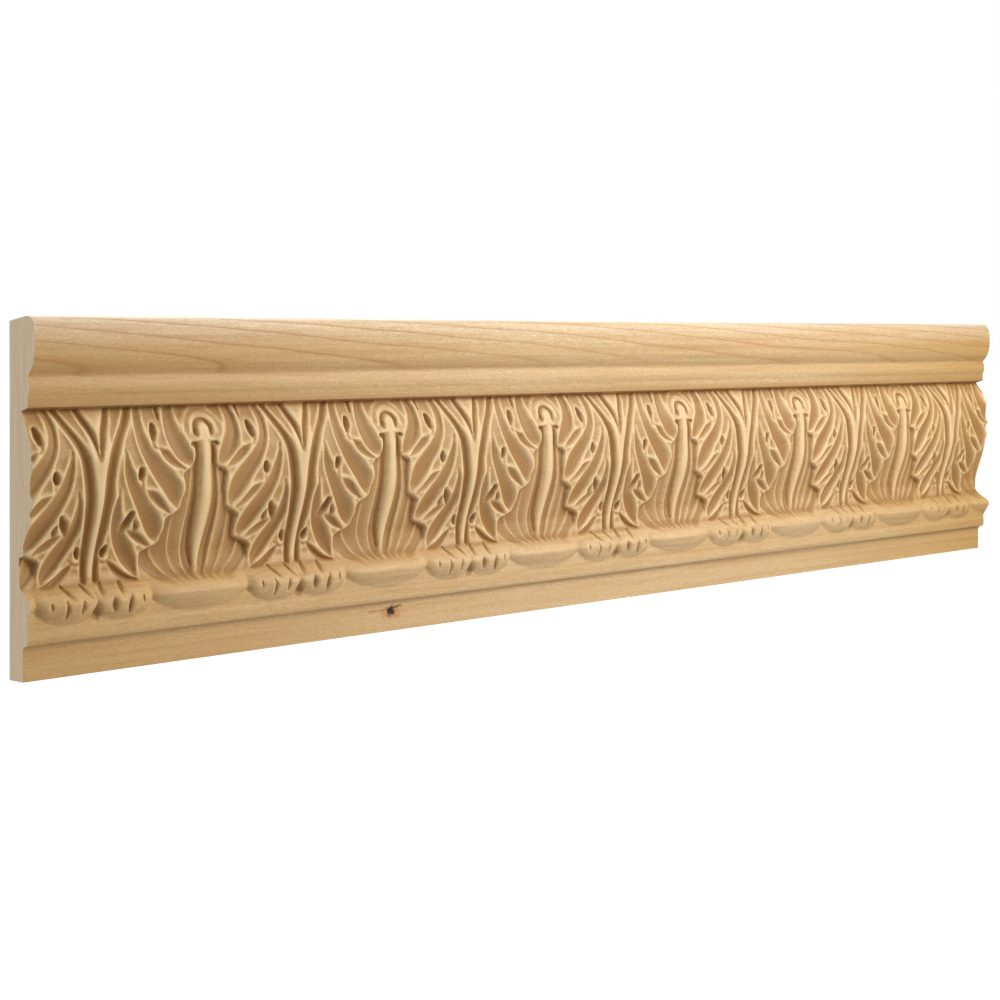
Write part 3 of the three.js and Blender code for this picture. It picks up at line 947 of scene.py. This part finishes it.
@dataclass
class Moulding:
    """The whole moulding: its repeats in a run, sawn off square."""

    low: Vector
    high: Vector
    pitch: float = 114.5
    first_rosette: float = 91.0
    weld: float = 0.01
    sharp_angle: float = 38.0

    def build(self, face: bpy.types.Material, end: bpy.types.Material) -> bpy.types.Object:
        """Builds the moulding's mesh.

        Args:
            face: the material of the long sides.
            end: the material of the sawn ends.

        Returns:
            The moulding as one closed mesh object.
        """
        size = (self.high - self.low) / MM
        section = Section(height=size.z, nose_depth=size.y)
        band = Carving(section, self.pitch / 2).mesh()
        repeat = self.repeat(section, band)
        log.info("one repeat has %d faces", len(repeat.polygons))
        first_stem = self.first_rosette - self.pitch / 2
        count = int(math.ceil(size.x / self.pitch)) + 2
        settings = {
            "Count": count,
            "Pitch": self.pitch * MM,
            "First": (first_stem - self.pitch) * MM + self.low.x,
            "Weld": self.weld * MM,
            "Wood": face,
        }
        mesh = RepeatTree().run(repeat, settings)
        mesh.name = "maple_moulding"
        mesh.materials.clear()
        mesh.materials.append(face)
        mesh.materials.append(end)
        self.saw_ends(mesh)
        mesh.set_sharp_from_angle(angle=math.radians(self.sharp_angle))
        return placed("maple_moulding", mesh)

    def repeat(self, section: Section, band: bpy.types.Mesh) -> bpy.types.Mesh:
        """Joins the carved half band to the plain foot, back and cornice, and mirrors the half.

        Args:
            section: the moulding's section.
            band: the carved half band.

        Returns:
            One whole repeat, an open tube with the stem in its middle.
        """
        work = bmesh.new()
        work.from_mesh(band)
        values = work.verts.layers.float[SHADING_AND_CUT_TONE]
        width = self.pitch / 2 * MM
        foot_edge = section.band_foot * MM
        fillet_edge = section.fillet_foot * MM
        near = 0.02 * MM
        lower = sorted((v for v in work.verts if abs(v.co.z - foot_edge) < near), key=lambda v: v.co.x)
        upper = sorted((v for v in work.verts if abs(v.co.z - fillet_edge) < near), key=lambda v: v.co.x)
        outline = section.cornice_outline()[1:] + section.foot_outline()[:-1]
        row = upper
        for depth, height in outline:
            row = self.next_strip(work, row, depth, height, width, values)
        work.faces.new([*lower, *reversed(row)])
        for vert in work.verts:
            vert.co.z += self.low.z
        bmesh.ops.recalc_face_normals(work, faces=work.faces)
        half = work.faces[:] + work.verts[:] + work.edges[:]
        twin = bmesh.ops.duplicate(work, geom=half)["geom"]
        twin_verts = [item for item in twin if isinstance(item, bmesh.types.BMVert)]
        twin_faces = [item for item in twin if isinstance(item, bmesh.types.BMFace)]
        for vert in twin_verts:
            vert.co.x = -vert.co.x
        bmesh.ops.reverse_faces(work, faces=twin_faces)
        bmesh.ops.remove_doubles(work, verts=work.verts, dist=self.weld * MM)
        mesh = bpy.data.meshes.new("moulding_repeat")
        work.to_mesh(mesh)
        work.free()
        return mesh

    def next_strip(
        self,
        work: bmesh.types.BMesh,
        row: list[bmesh.types.BMVert],
        depth: float,
        height: float,
        width: float,
        values: bmesh.types.BMLayerItem,
    ) -> list[bmesh.types.BMVert]:
        """Adds the next flat strip of the section, from a row of vertices.

        Args:
            work: the mesh that is being built.
            row: the vertices of the last row, from the stem's line outwards.
            depth: how far the new row stands in front of the back.
            height: the new row's height.
            width: the half repeat's width, in metres.
            values: the layer that holds the painted shading and cut tone.

        Returns:
            The new row.
        """
        ends = [work.verts.new((x, -depth * MM, height * MM)) for x in (0.0, width)]
        for vert in ends:
            vert[values] = PLAIN_SHADING
        work.faces.new([*row, *reversed(ends)])
        return ends

    def saw_ends(self, mesh: bpy.types.Mesh) -> None:
        """Cuts the run off square at both ends and closes it with flat end faces.

        Args:
            mesh: the run, which is changed in place.
        """
        work = bmesh.new()
        work.from_mesh(mesh)
        for x, outward in ((self.low.x, -1.0), (self.high.x, 1.0)):
            everything = work.faces[:] + work.edges[:] + work.verts[:]
            result = bmesh.ops.bisect_plane(
                work,
                geom=everything,
                dist=1e-7,
                plane_co=(x, 0, 0),
                plane_no=(outward, 0, 0),
                clear_outer=True,
            )
            rim = [item for item in result["geom_cut"] if isinstance(item, bmesh.types.BMEdge)]
            cap = bmesh.ops.triangle_fill(work, edges=rim, use_beauty=True, use_dissolve=False)
            for item in cap["geom"]:
                if isinstance(item, bmesh.types.BMFace):
                    item.material_index = 1
        bmesh.ops.triangulate(work, faces=[f for f in work.faces if len(f.verts) > 4])
        bmesh.ops.recalc_face_normals(work, faces=work.faces)
        open_edges = sum(1 for edge in work.edges if len(edge.link_faces) != 2)
        log.info("the moulding has %d faces and %d open edges", len(work.faces), open_edges)
        work.to_mesh(mesh)
        work.free()


@dataclass(frozen=True)
class Speckle:
    """A stretched noise: its scale each way, how fine it goes and how strong its fine parts are."""

    scale: tuple[float, float, float]
    detail: float
    roughness: float


class Shader:
    """A short way to add and link shader nodes."""

    def __init__(self, tree: bpy.types.NodeTree) -> None:
        """Keeps the tree that nodes are added to."""
        self.tree = tree

    def node(
        self, kind: str, settings: dict[str, object] | None = None, **inputs: object
    ) -> bpy.types.Node:
        """Adds a node.

        Args:
            kind: its type.
            settings: its own properties, by name.
            inputs: values or sockets for its inputs, with spaces as underscores.

        Returns:
            The node.
        """
        node = self.tree.nodes.new(kind)
        for name, value in (settings or {}).items():
            setattr(node, name, value)
        self.fill(node, **inputs)
        return node

    def fill(self, node: bpy.types.Node, **inputs: object) -> None:
        """Gives values or sockets to a node's inputs, with spaces in their names as underscores."""
        for name, value in inputs.items():
            self.plug(node.inputs[name.replace("_", " ")], value)

    def plug(self, socket: Socket, value: object) -> None:
        """Links an input to another node's output, or sets its value."""
        if isinstance(value, Socket):
            self.tree.links.new(value, socket)
        else:
            socket.default_value = value

    def math(self, operation: str, first: object, second: object = 0.0) -> Socket:
        """Adds a math node and returns its result."""
        node = self.tree.nodes.new("ShaderNodeMath")
        node.operation = operation
        for socket, value in zip(node.inputs, (first, second)):
            self.plug(socket, value)
        return node.outputs[0]

    def mix(self, share: object, first: object, second: object) -> Socket:
        """Adds a colour mix node and returns its result."""
        node = self.tree.nodes.new("ShaderNodeMix")
        node.data_type = "RGBA"
        for index, value in ((0, share), (6, first), (7, second)):
            self.plug(node.inputs[index], value)
        return node.outputs[2]

    def rise(self, value: Socket, limits: Range) -> Socket:
        """Adds a range from one pair of values to another and returns its result.

        Args:
            value: what it reads.
            limits: where it starts and ends, and what it gives there.

        Returns:
            The mapped value.
        """
        node = self.node("ShaderNodeMapRange", Value=value)
        for name, limit in zip(("From Min", "From Max", "To Min", "To Max"), limits):
            node.inputs[name].default_value = limit
        return node.outputs[0]

    def noise(self, place: Socket, speckle: Speckle) -> Socket:
        """Adds a stretched noise and returns its result."""
        stretched = self.node("ShaderNodeMapping", Vector=place, Scale=speckle.scale).outputs[0]
        settings = {"Scale": 1.0, "Detail": speckle.detail, "Roughness": speckle.roughness}
        return self.node("ShaderNodeTexNoise", Vector=stretched, **settings).outputs[0]

    def ramp(self, factor: Socket, stops: Ramp) -> Socket:
        """Adds a ramp of greys and returns its result.

        Args:
            factor: what it reads.
            stops: position and grey value of each stop.

        Returns:
            The ramp's colour output.
        """
        node = self.tree.nodes.new("ShaderNodeValToRGB")
        self.tree.links.new(factor, node.inputs[0])
        elements = node.color_ramp.elements
        while len(elements) < len(stops):
            elements.new(0.5)
        for element, (position, value) in zip(elements, stops):
            element.position = position
            element.color = (value, value, value, 1)
        return node.outputs[0]


@dataclass(frozen=True)
class Grain:
    """The growth rings and fibres of flat-sawn maple."""

    wander: Speckle = Speckle((5.0, 34.0, 34.0), 3.0, 0.5)
    ring_wander: float = 0.0055  # how far the growth rings stray, in metres
    ring_line: Ramp = ((0.0, 0.08), (0.1, 0.0), (0.6, 0.06), (0.84, 0.25), (0.94, 1.0), (1.0, 0.1))
    fibres: Speckle = Speckle((170.0, 1300.0, 1300.0), 3.0, 0.7)
    flecks: Speckle = Speckle((620.0, 1500.0, 1500.0), 1.0, 0.6)
    streaks: Speckle = Speckle((7.0, 330.0, 330.0), 4.0, 0.65)
    tone: Speckle = Speckle((2.6, 26.0, 26.0), 2.0, 0.5)

    @property
    def noises(self) -> dict[str, Speckle]:
        """The noises that the group puts out, by the names of its outputs."""
        return {
            "Fibres": self.fibres,
            "Flecks": self.flecks,
            "Streaks": self.streaks,
            "Tone": self.tone,
        }

    def group(self) -> bpy.types.ShaderNodeTree:
        """Builds the grain as a group that every finish uses.

        Returns:
            The group: it puts out the rings, and each of the noises by its name.
        """
        group = bpy.data.node_groups.new("maple_grain", "ShaderNodeTree")
        face = group.interface
        for name, kind in {"Ring Spacing": "Float", "Pith": "Vector", "Tilt": "Vector"}.items():
            face.new_socket(name, in_out="INPUT", socket_type=f"NodeSocket{kind}")
        for name in ("Rings", *self.noises):
            face.new_socket(name, in_out="OUTPUT", socket_type="NodeSocketFloat")
        shade = Shader(group)
        inputs = group.nodes.new("NodeGroupInput")
        output = group.nodes.new("NodeGroupOutput")
        place = shade.node("ShaderNodeTexCoord").outputs["Object"]

        turned = shade.node(
            "ShaderNodeMapping",
            {"vector_type": "POINT"},
            Vector=place,
            Location=inputs.outputs["Pith"],
            Rotation=inputs.outputs["Tilt"],
        ).outputs[0]
        wander = shade.math("SUBTRACT", shade.noise(turned, self.wander), 0.5)
        parts = shade.node("ShaderNodeSeparateXYZ", Vector=turned)
        depth_squared = shade.math("POWER", parts.outputs["Y"], 2.0)
        height_squared = shade.math("POWER", parts.outputs["Z"], 2.0)
        radius = shade.math("SQRT", shade.math("ADD", depth_squared, height_squared))
        wavy = shade.math("ADD", radius, shade.math("MULTIPLY", wander, self.ring_wander))
        rings = shade.math("FRACT", shade.math("DIVIDE", wavy, inputs.outputs["Ring Spacing"]))
        group.links.new(shade.ramp(rings, self.ring_line), output.inputs["Rings"])
        for name, speckle in self.noises.items():
            group.links.new(shade.noise(place, speckle), output.inputs[name])
        return group


@dataclass(frozen=True)
class KnotPart:
    """One dark or stained oval of the pin knot: where it is, half its sizes, its turn and its colour."""

    shift: Point
    reach: Point
    turn: float
    strength: float
    colour: Colour


@dataclass(frozen=True)
class PlanedMaple:
    """The long faces: planed and carved maple, browner in the hollows partly by painted shade, with
    painted highlights, a painted sheen and one pin knot.
    """

    grain: bpy.types.ShaderNodeTree
    knot: Vector
    half: float
    pale: Colour = (0.71, 0.475, 0.19, 1)
    tan: Colour = (0.60, 0.36, 0.12, 1)
    # painted highlight: the pale colour of the ridges of the carving
    crest: Colour = (0.86, 0.62, 0.33, 1)
    late_wood: Colour = (0.42, 0.18, 0.05, 1)
    streak: Colour = (0.50, 0.25, 0.075, 1)
    # the hollows' brown: the cut wood's darker tone together with painted shade
    hollow_shade_and_cut_tone: Colour = (0.385, 0.195, 0.06, 1)
    knot_brown: Colour = (0.03, 0.012, 0.006, 1)
    knot_stain: Colour = (0.52, 0.20, 0.05, 1)
    knot_depth: float = 7.0
    ring_spacing: float = 0.0044
    ring_fade: Range = (0.049, 0.056, 0.14, 0.75)
    # painted highlight: a paler band along the top edge
    top_highlight: Colour = (0.93, 0.79, 0.57, 1)
    top_highlight_up: Range = (0.064, 0.076, 0.0, 0.7)
    pith: tuple[float, float, float] = (0.0, -0.10, -0.17)
    tilt: tuple[float, float, float] = (0.0, 0.0, 0.06)
    # painted sheen: the middle of the length paler and creamier than the ends
    sheen_cream: Colour = (0.79, 0.60, 0.35, 1)
    sheen_along: Ramp = ((0.0, 0.1), (0.4, 0.75), (0.72, 0.7), (1.0, 0.0))
    ring_patches: Ramp = ((0.3, 0.35), (0.6, 1.0))
    fibre_ramp: Ramp = ((0.35, 0.0), (0.7, 1.0))
    fleck_ramp: Ramp = ((0.42, 0.0), (0.7, 0.3))
    streak_ramp: Ramp = ((0.42, 0.0), (0.68, 0.42))
    ridge_highlight_ramp: Ramp = ((0.0, 0.9), (0.21, 0.0))
    hollow_shade_ramp: Ramp = ((0.33, 0.0), (0.58, 0.6), (0.95, 0.98))
    fibre_share: float = 0.3
    fibre_relief: float = 0.5
    bump: float = 0.12
    bump_depth: float = 0.0006
    rough_least: float = 0.46
    rough_spread: float = 0.12
    gloss: float = 0.35
    knot_core: float = 0.45  # share of a knot part's reach that keeps its full strength
    knot_rag: float = 380.0  # scale of the noise that makes its edge ragged
    knot_rag_depth: float = 1.5

    def material(self) -> bpy.types.Material:
        """Builds the material."""
        material, shade, shader = new_material("planed_maple")
        grain = shade.node("ShaderNodeGroup", {"node_tree": self.grain})
        shade.fill(grain, Ring_Spacing=self.ring_spacing, Pith=self.pith, Tilt=self.tilt)
        fibres = shade.ramp(grain.outputs["Fibres"], self.fibre_ramp)
        wood = self.painted_ridges_and_hollows(shade, self.grained(shade, grain.outputs, fibres))
        for part in self.knot_parts():
            wood = shade.mix(self.knot_mask(shade, part), wood, part.colour)
        relief = shade.math("MULTIPLY", fibres, self.fibre_relief)
        relief = shade.math("ADD", relief, grain.outputs["Rings"])
        bump = shade.node("ShaderNodeBump", Strength=self.bump, Distance=self.bump_depth, Height=relief)
        rough = shade.math("MULTIPLY", grain.outputs["Tone"], self.rough_spread)
        rough = shade.math("ADD", rough, self.rough_least)
        shade.fill(shader, Base_Color=wood, Normal=bump.outputs[0], Roughness=rough)
        shade.fill(shader, Specular_IOR_Level=self.gloss)
        return material

    def grained(self, shade: Shader, grain: bpy.types.NodeOutputs, fibres: Socket) -> Socket:
        """Adds the plain wood: its tone, a painted sheen midway along the length and a painted highlight
        along the top, its rings, fibres and flecks.

        Args:
            shade: the material's shader.
            grain: what the grain group puts out.
            fibres: the fibres, from 0 to 1.

        Returns:
            The wood's colour.
        """
        wood = shade.mix(grain["Tone"], self.pale, self.tan)
        place = shade.node("ShaderNodeTexCoord").outputs["Object"]
        place = shade.node("ShaderNodeSeparateXYZ", Vector=place).outputs
        along = shade.rise(place["X"], (-self.half, self.half, 0.0, 1.0))
        # painted sheen: the middle of the length paler and creamier
        wood = shade.mix(shade.ramp(along, self.sheen_along), wood, self.sheen_cream)
        # painted highlight: a paler band along the top edge
        wood = shade.mix(shade.rise(place["Z"], self.top_highlight_up), wood, self.top_highlight)
        strength = shade.math("MULTIPLY", shade.rise(place["Z"], self.ring_fade), grain["Rings"])
        patchy = shade.ramp(grain["Tone"], self.ring_patches)
        wood = shade.mix(shade.math("MULTIPLY", strength, patchy), wood, self.late_wood)
        wood = shade.mix(shade.math("MULTIPLY", fibres, self.fibre_share), wood, self.late_wood)
        wood = shade.mix(shade.ramp(grain["Flecks"], self.fleck_ramp), wood, self.late_wood)
        return shade.mix(shade.ramp(grain["Streaks"], self.streak_ramp), wood, self.streak)

    def painted_ridges_and_hollows(self, shade: Shader, wood: Socket) -> Socket:
        """Adds the ridges' painted highlight, and the brown hollows of the carving: partly cut-wood tone,
        partly painted shade.

        Args:
            shade: the material's shader.
            wood: the plain wood's colour.

        Returns:
            The wood's colour.
        """
        shading_and_cut_tone = shade.node("ShaderNodeAttribute", {"attribute_name": SHADING_AND_CUT_TONE}).outputs["Fac"]
        # pale ridges: a painted highlight
        wood = shade.mix(shade.ramp(shading_and_cut_tone, self.ridge_highlight_ramp), wood, self.crest)
        # brown hollows: the cut wood's darker tone together with painted shade
        return shade.mix(shade.ramp(shading_and_cut_tone, self.hollow_shade_ramp), wood, self.hollow_shade_and_cut_tone)

    def knot_parts(self) -> list[KnotPart]:
        """Lists the parts of the knot: its stained halo, its streaks and its dark heart."""
        return [
            KnotPart((1.0, -1.2), (8.5, 3.8), 0.0, 0.6, self.knot_stain),
            KnotPart((-7.0, 0.6), (10.0, 0.7), 0.0, 0.6, self.late_wood),
            KnotPart((2.6, 1.4), (5.6, 1.1), -0.22, 0.85, self.knot_brown),
            KnotPart((0.0, 0.0), (3.3, 3.2), 0.5, 0.97, self.knot_brown),
        ]

    def knot_mask(self, shade: Shader, part: KnotPart) -> Socket:
        """Adds the mask of one part of the small pin knot in the foot.

        Args:
            shade: the material's shader.
            part: the part.

        Returns:
            The mask.
        """
        place = shade.node("ShaderNodeTexCoord").outputs["Object"]
        shaped = shade.node(
            "ShaderNodeMapping",
            {"vector_type": "TEXTURE"},
            Vector=place,
            Location=self.knot + Vector((part.shift[0] * MM, 0, part.shift[1] * MM)),
            Rotation=(0, part.turn, 0),
            Scale=(part.reach[0] * MM, self.knot_depth * MM, part.reach[1] * MM),
        ).outputs[0]
        ragged = shade.node("ShaderNodeTexNoise", Vector=place, Scale=self.knot_rag, Detail=2.0).outputs[0]
        length = shade.node("ShaderNodeVectorMath", {"operation": "LENGTH"}, Vector=shaped)
        shift = shade.math("MULTIPLY", shade.math("SUBTRACT", ragged, 0.5), self.knot_rag_depth)
        edge = shade.math("ADD", length.outputs["Value"], shift)
        return shade.ramp(edge, ((self.knot_core, part.strength), (1.0, 0.0)))


@dataclass(frozen=True)
class SawnEnd:
    """The sawn ends: paler, greyer end grain, with the growth rings as fine upright lines."""

    grain: bpy.types.ShaderNodeTree
    pale: Colour = (0.88, 0.70, 0.48, 1)
    dark: Colour = (0.72, 0.55, 0.36, 1)
    lines: Speckle = Speckle((300.0, 700.0, 24.0), 3.0, 0.6)
    line_ramp: Ramp = ((0.38, 0.0), (0.66, 0.6))
    ring_spacing: float = 0.0035
    ring_share: float = 0.3
    pith: tuple[float, float, float] = (0.0, -0.22, 0.0)
    bump: float = 0.15
    bump_depth: float = 0.0005
    roughness: float = 0.85
    gloss: float = 0.2

    def material(self) -> bpy.types.Material:
        """Builds the material."""
        material, shade, shader = new_material("sawn_end_grain")
        place = shade.node("ShaderNodeTexCoord").outputs["Object"]
        lines = shade.noise(place, self.lines)
        grain = shade.node("ShaderNodeGroup", {"node_tree": self.grain})
        shade.fill(grain, Ring_Spacing=self.ring_spacing, Pith=self.pith)
        mixed = shade.mix(shade.ramp(lines, self.line_ramp), self.pale, self.dark)
        wood = shade.mix(shade.math("MULTIPLY", grain.outputs["Rings"], self.ring_share), mixed, self.dark)
        bump = shade.node("ShaderNodeBump", Strength=self.bump, Distance=self.bump_depth, Height=lines)
        shade.fill(shader, Base_Color=wood, Normal=bump.outputs[0], Roughness=self.roughness)
        shade.fill(shader, Specular_IOR_Level=self.gloss)
        return material


def new_material(name: str) -> tuple[bpy.types.Material, Shader, bpy.types.Node]:
    """Starts a node material.

    Args:
        name: the material's name.

    Returns:
        The material, a helper for its tree, and its Principled BSDF.
    """
    material = bpy.data.materials.new(name)
    material.use_nodes = True
    shader = next(n for n in material.node_tree.nodes if n.type == "BSDF_PRINCIPLED")
    return material, Shader(material.node_tree), shader


@dataclass(frozen=True)
class Lamp:
    """One soft square light that looks at the moulding's middle."""

    name: str
    place: tuple[float, float, float]
    size: float
    power: float

    def build(self) -> None:
        """Adds the light."""
        light = bpy.data.lights.new(self.name, "AREA")
        light.size = self.size
        light.energy = self.power
        lamp = placed(self.name, light)
        lamp.location = self.place
        lamp.rotation_euler = (-Vector(self.place)).to_track_quat("-Z", "Y").to_euler()


@dataclass(frozen=True)
class Studio:
    """The pale floor, the soft light and the camera."""

    floor_drop: float = 0.5
    floor_reach: float = 40.0
    floor_grey: Colour = (0.6, 0.6, 0.6, 1)
    floor_roughness: float = 0.9
    surroundings: float = 0.22
    lens: float = 73.82
    sensor: float = 36.0
    shift_up: float = -0.1613
    camera_place: tuple[float, float, float] = (-0.868, -0.7488, 0.0674)
    camera_turn: float = -46.33
    lamps: tuple[Lamp, ...] = (
        Lamp("key", (0.16, -0.72, 0.36), 0.5, 7.0),
        Lamp("overhead", (0.0, -0.1, 1.2), 0.8, 4.0),
        Lamp("rim", (0.6, 0.9, 0.7), 1.2, 16.0),
        Lamp("fill", (-1.5, 0.95, 0.9), 1.2, 15.0),
    )

    def build(self, low: Vector) -> None:
        """Builds the whole studio.

        Args:
            low: the lowest corner of the moulding.
        """
        bpy.context.scene.view_settings.view_transform = "Standard"
        self.floor(low.z - self.floor_drop)
        self.world()
        for lamp in self.lamps:
            lamp.build()
        self.camera()

    def floor(self, height: float) -> None:
        """Lays a plain pale floor at a height."""
        reach = self.floor_reach
        corners = [(reach * x, reach * y, height) for x, y in ((-1, -1), (1, -1), (1, 1), (-1, 1))]
        mesh = mesh_from("floor", np.array(corners), np.array([[0, 1, 2, 3]]))
        floor = placed("floor", mesh)
        material, shade, shader = new_material("pale_floor")
        seen = shade.node("ShaderNodeLightPath").outputs["Is Camera Ray"]
        shade.fill(shader, Base_Color=self.floor_grey, Roughness=self.floor_roughness)
        shade.fill(shader, Emission_Color=WHITE, Emission_Strength=seen)
        mesh.materials.append(material)

    def world(self) -> None:
        """Fills the surroundings with soft white light, and shows them plain white."""
        world = bpy.data.worlds.new("studio")
        world.use_nodes = True
        shade = Shader(world.node_tree)
        background = next(n for n in world.node_tree.nodes if n.type == "BACKGROUND")
        seen = shade.node("ShaderNodeLightPath").outputs["Is Camera Ray"]
        strength = shade.math("MAXIMUM", seen, self.surroundings)
        shade.fill(background, Color=WHITE, Strength=strength)
        bpy.context.scene.world = world

    def camera(self) -> None:
        """Places the camera at the photograph's viewing angle."""
        data = bpy.data.cameras.new("camera")
        data.lens = self.lens
        data.sensor_width = self.sensor
        data.shift_y = self.shift_up
        camera = placed("camera", data)
        camera.location = self.camera_place
        camera.rotation_euler = (math.radians(90), 0, math.radians(self.camera_turn))
        bpy.context.scene.camera = camera


def main() -> None:
    """Builds the moulding and the studio."""
    logging.basicConfig(level=logging.INFO, format="%(name)s: %(message)s")
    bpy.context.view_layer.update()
    low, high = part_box(NODE)
    Studio().build(low)
    grain = Grain().group()
    knot = low + Vector((KNOT_FROM_END, KNOT_BEHIND_NOSE, KNOT_UP)) * MM
    face = PlanedMaple(grain, knot, high.x).material()
    end = SawnEnd(grain).material()
    moulding = Moulding(low, high).build(face, end)
    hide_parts(NODE)
    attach(moulding, "root")
    log.info("built the moulding")
    bpy.context.view_layer.update()


if __name__ == "__main__":
    main()
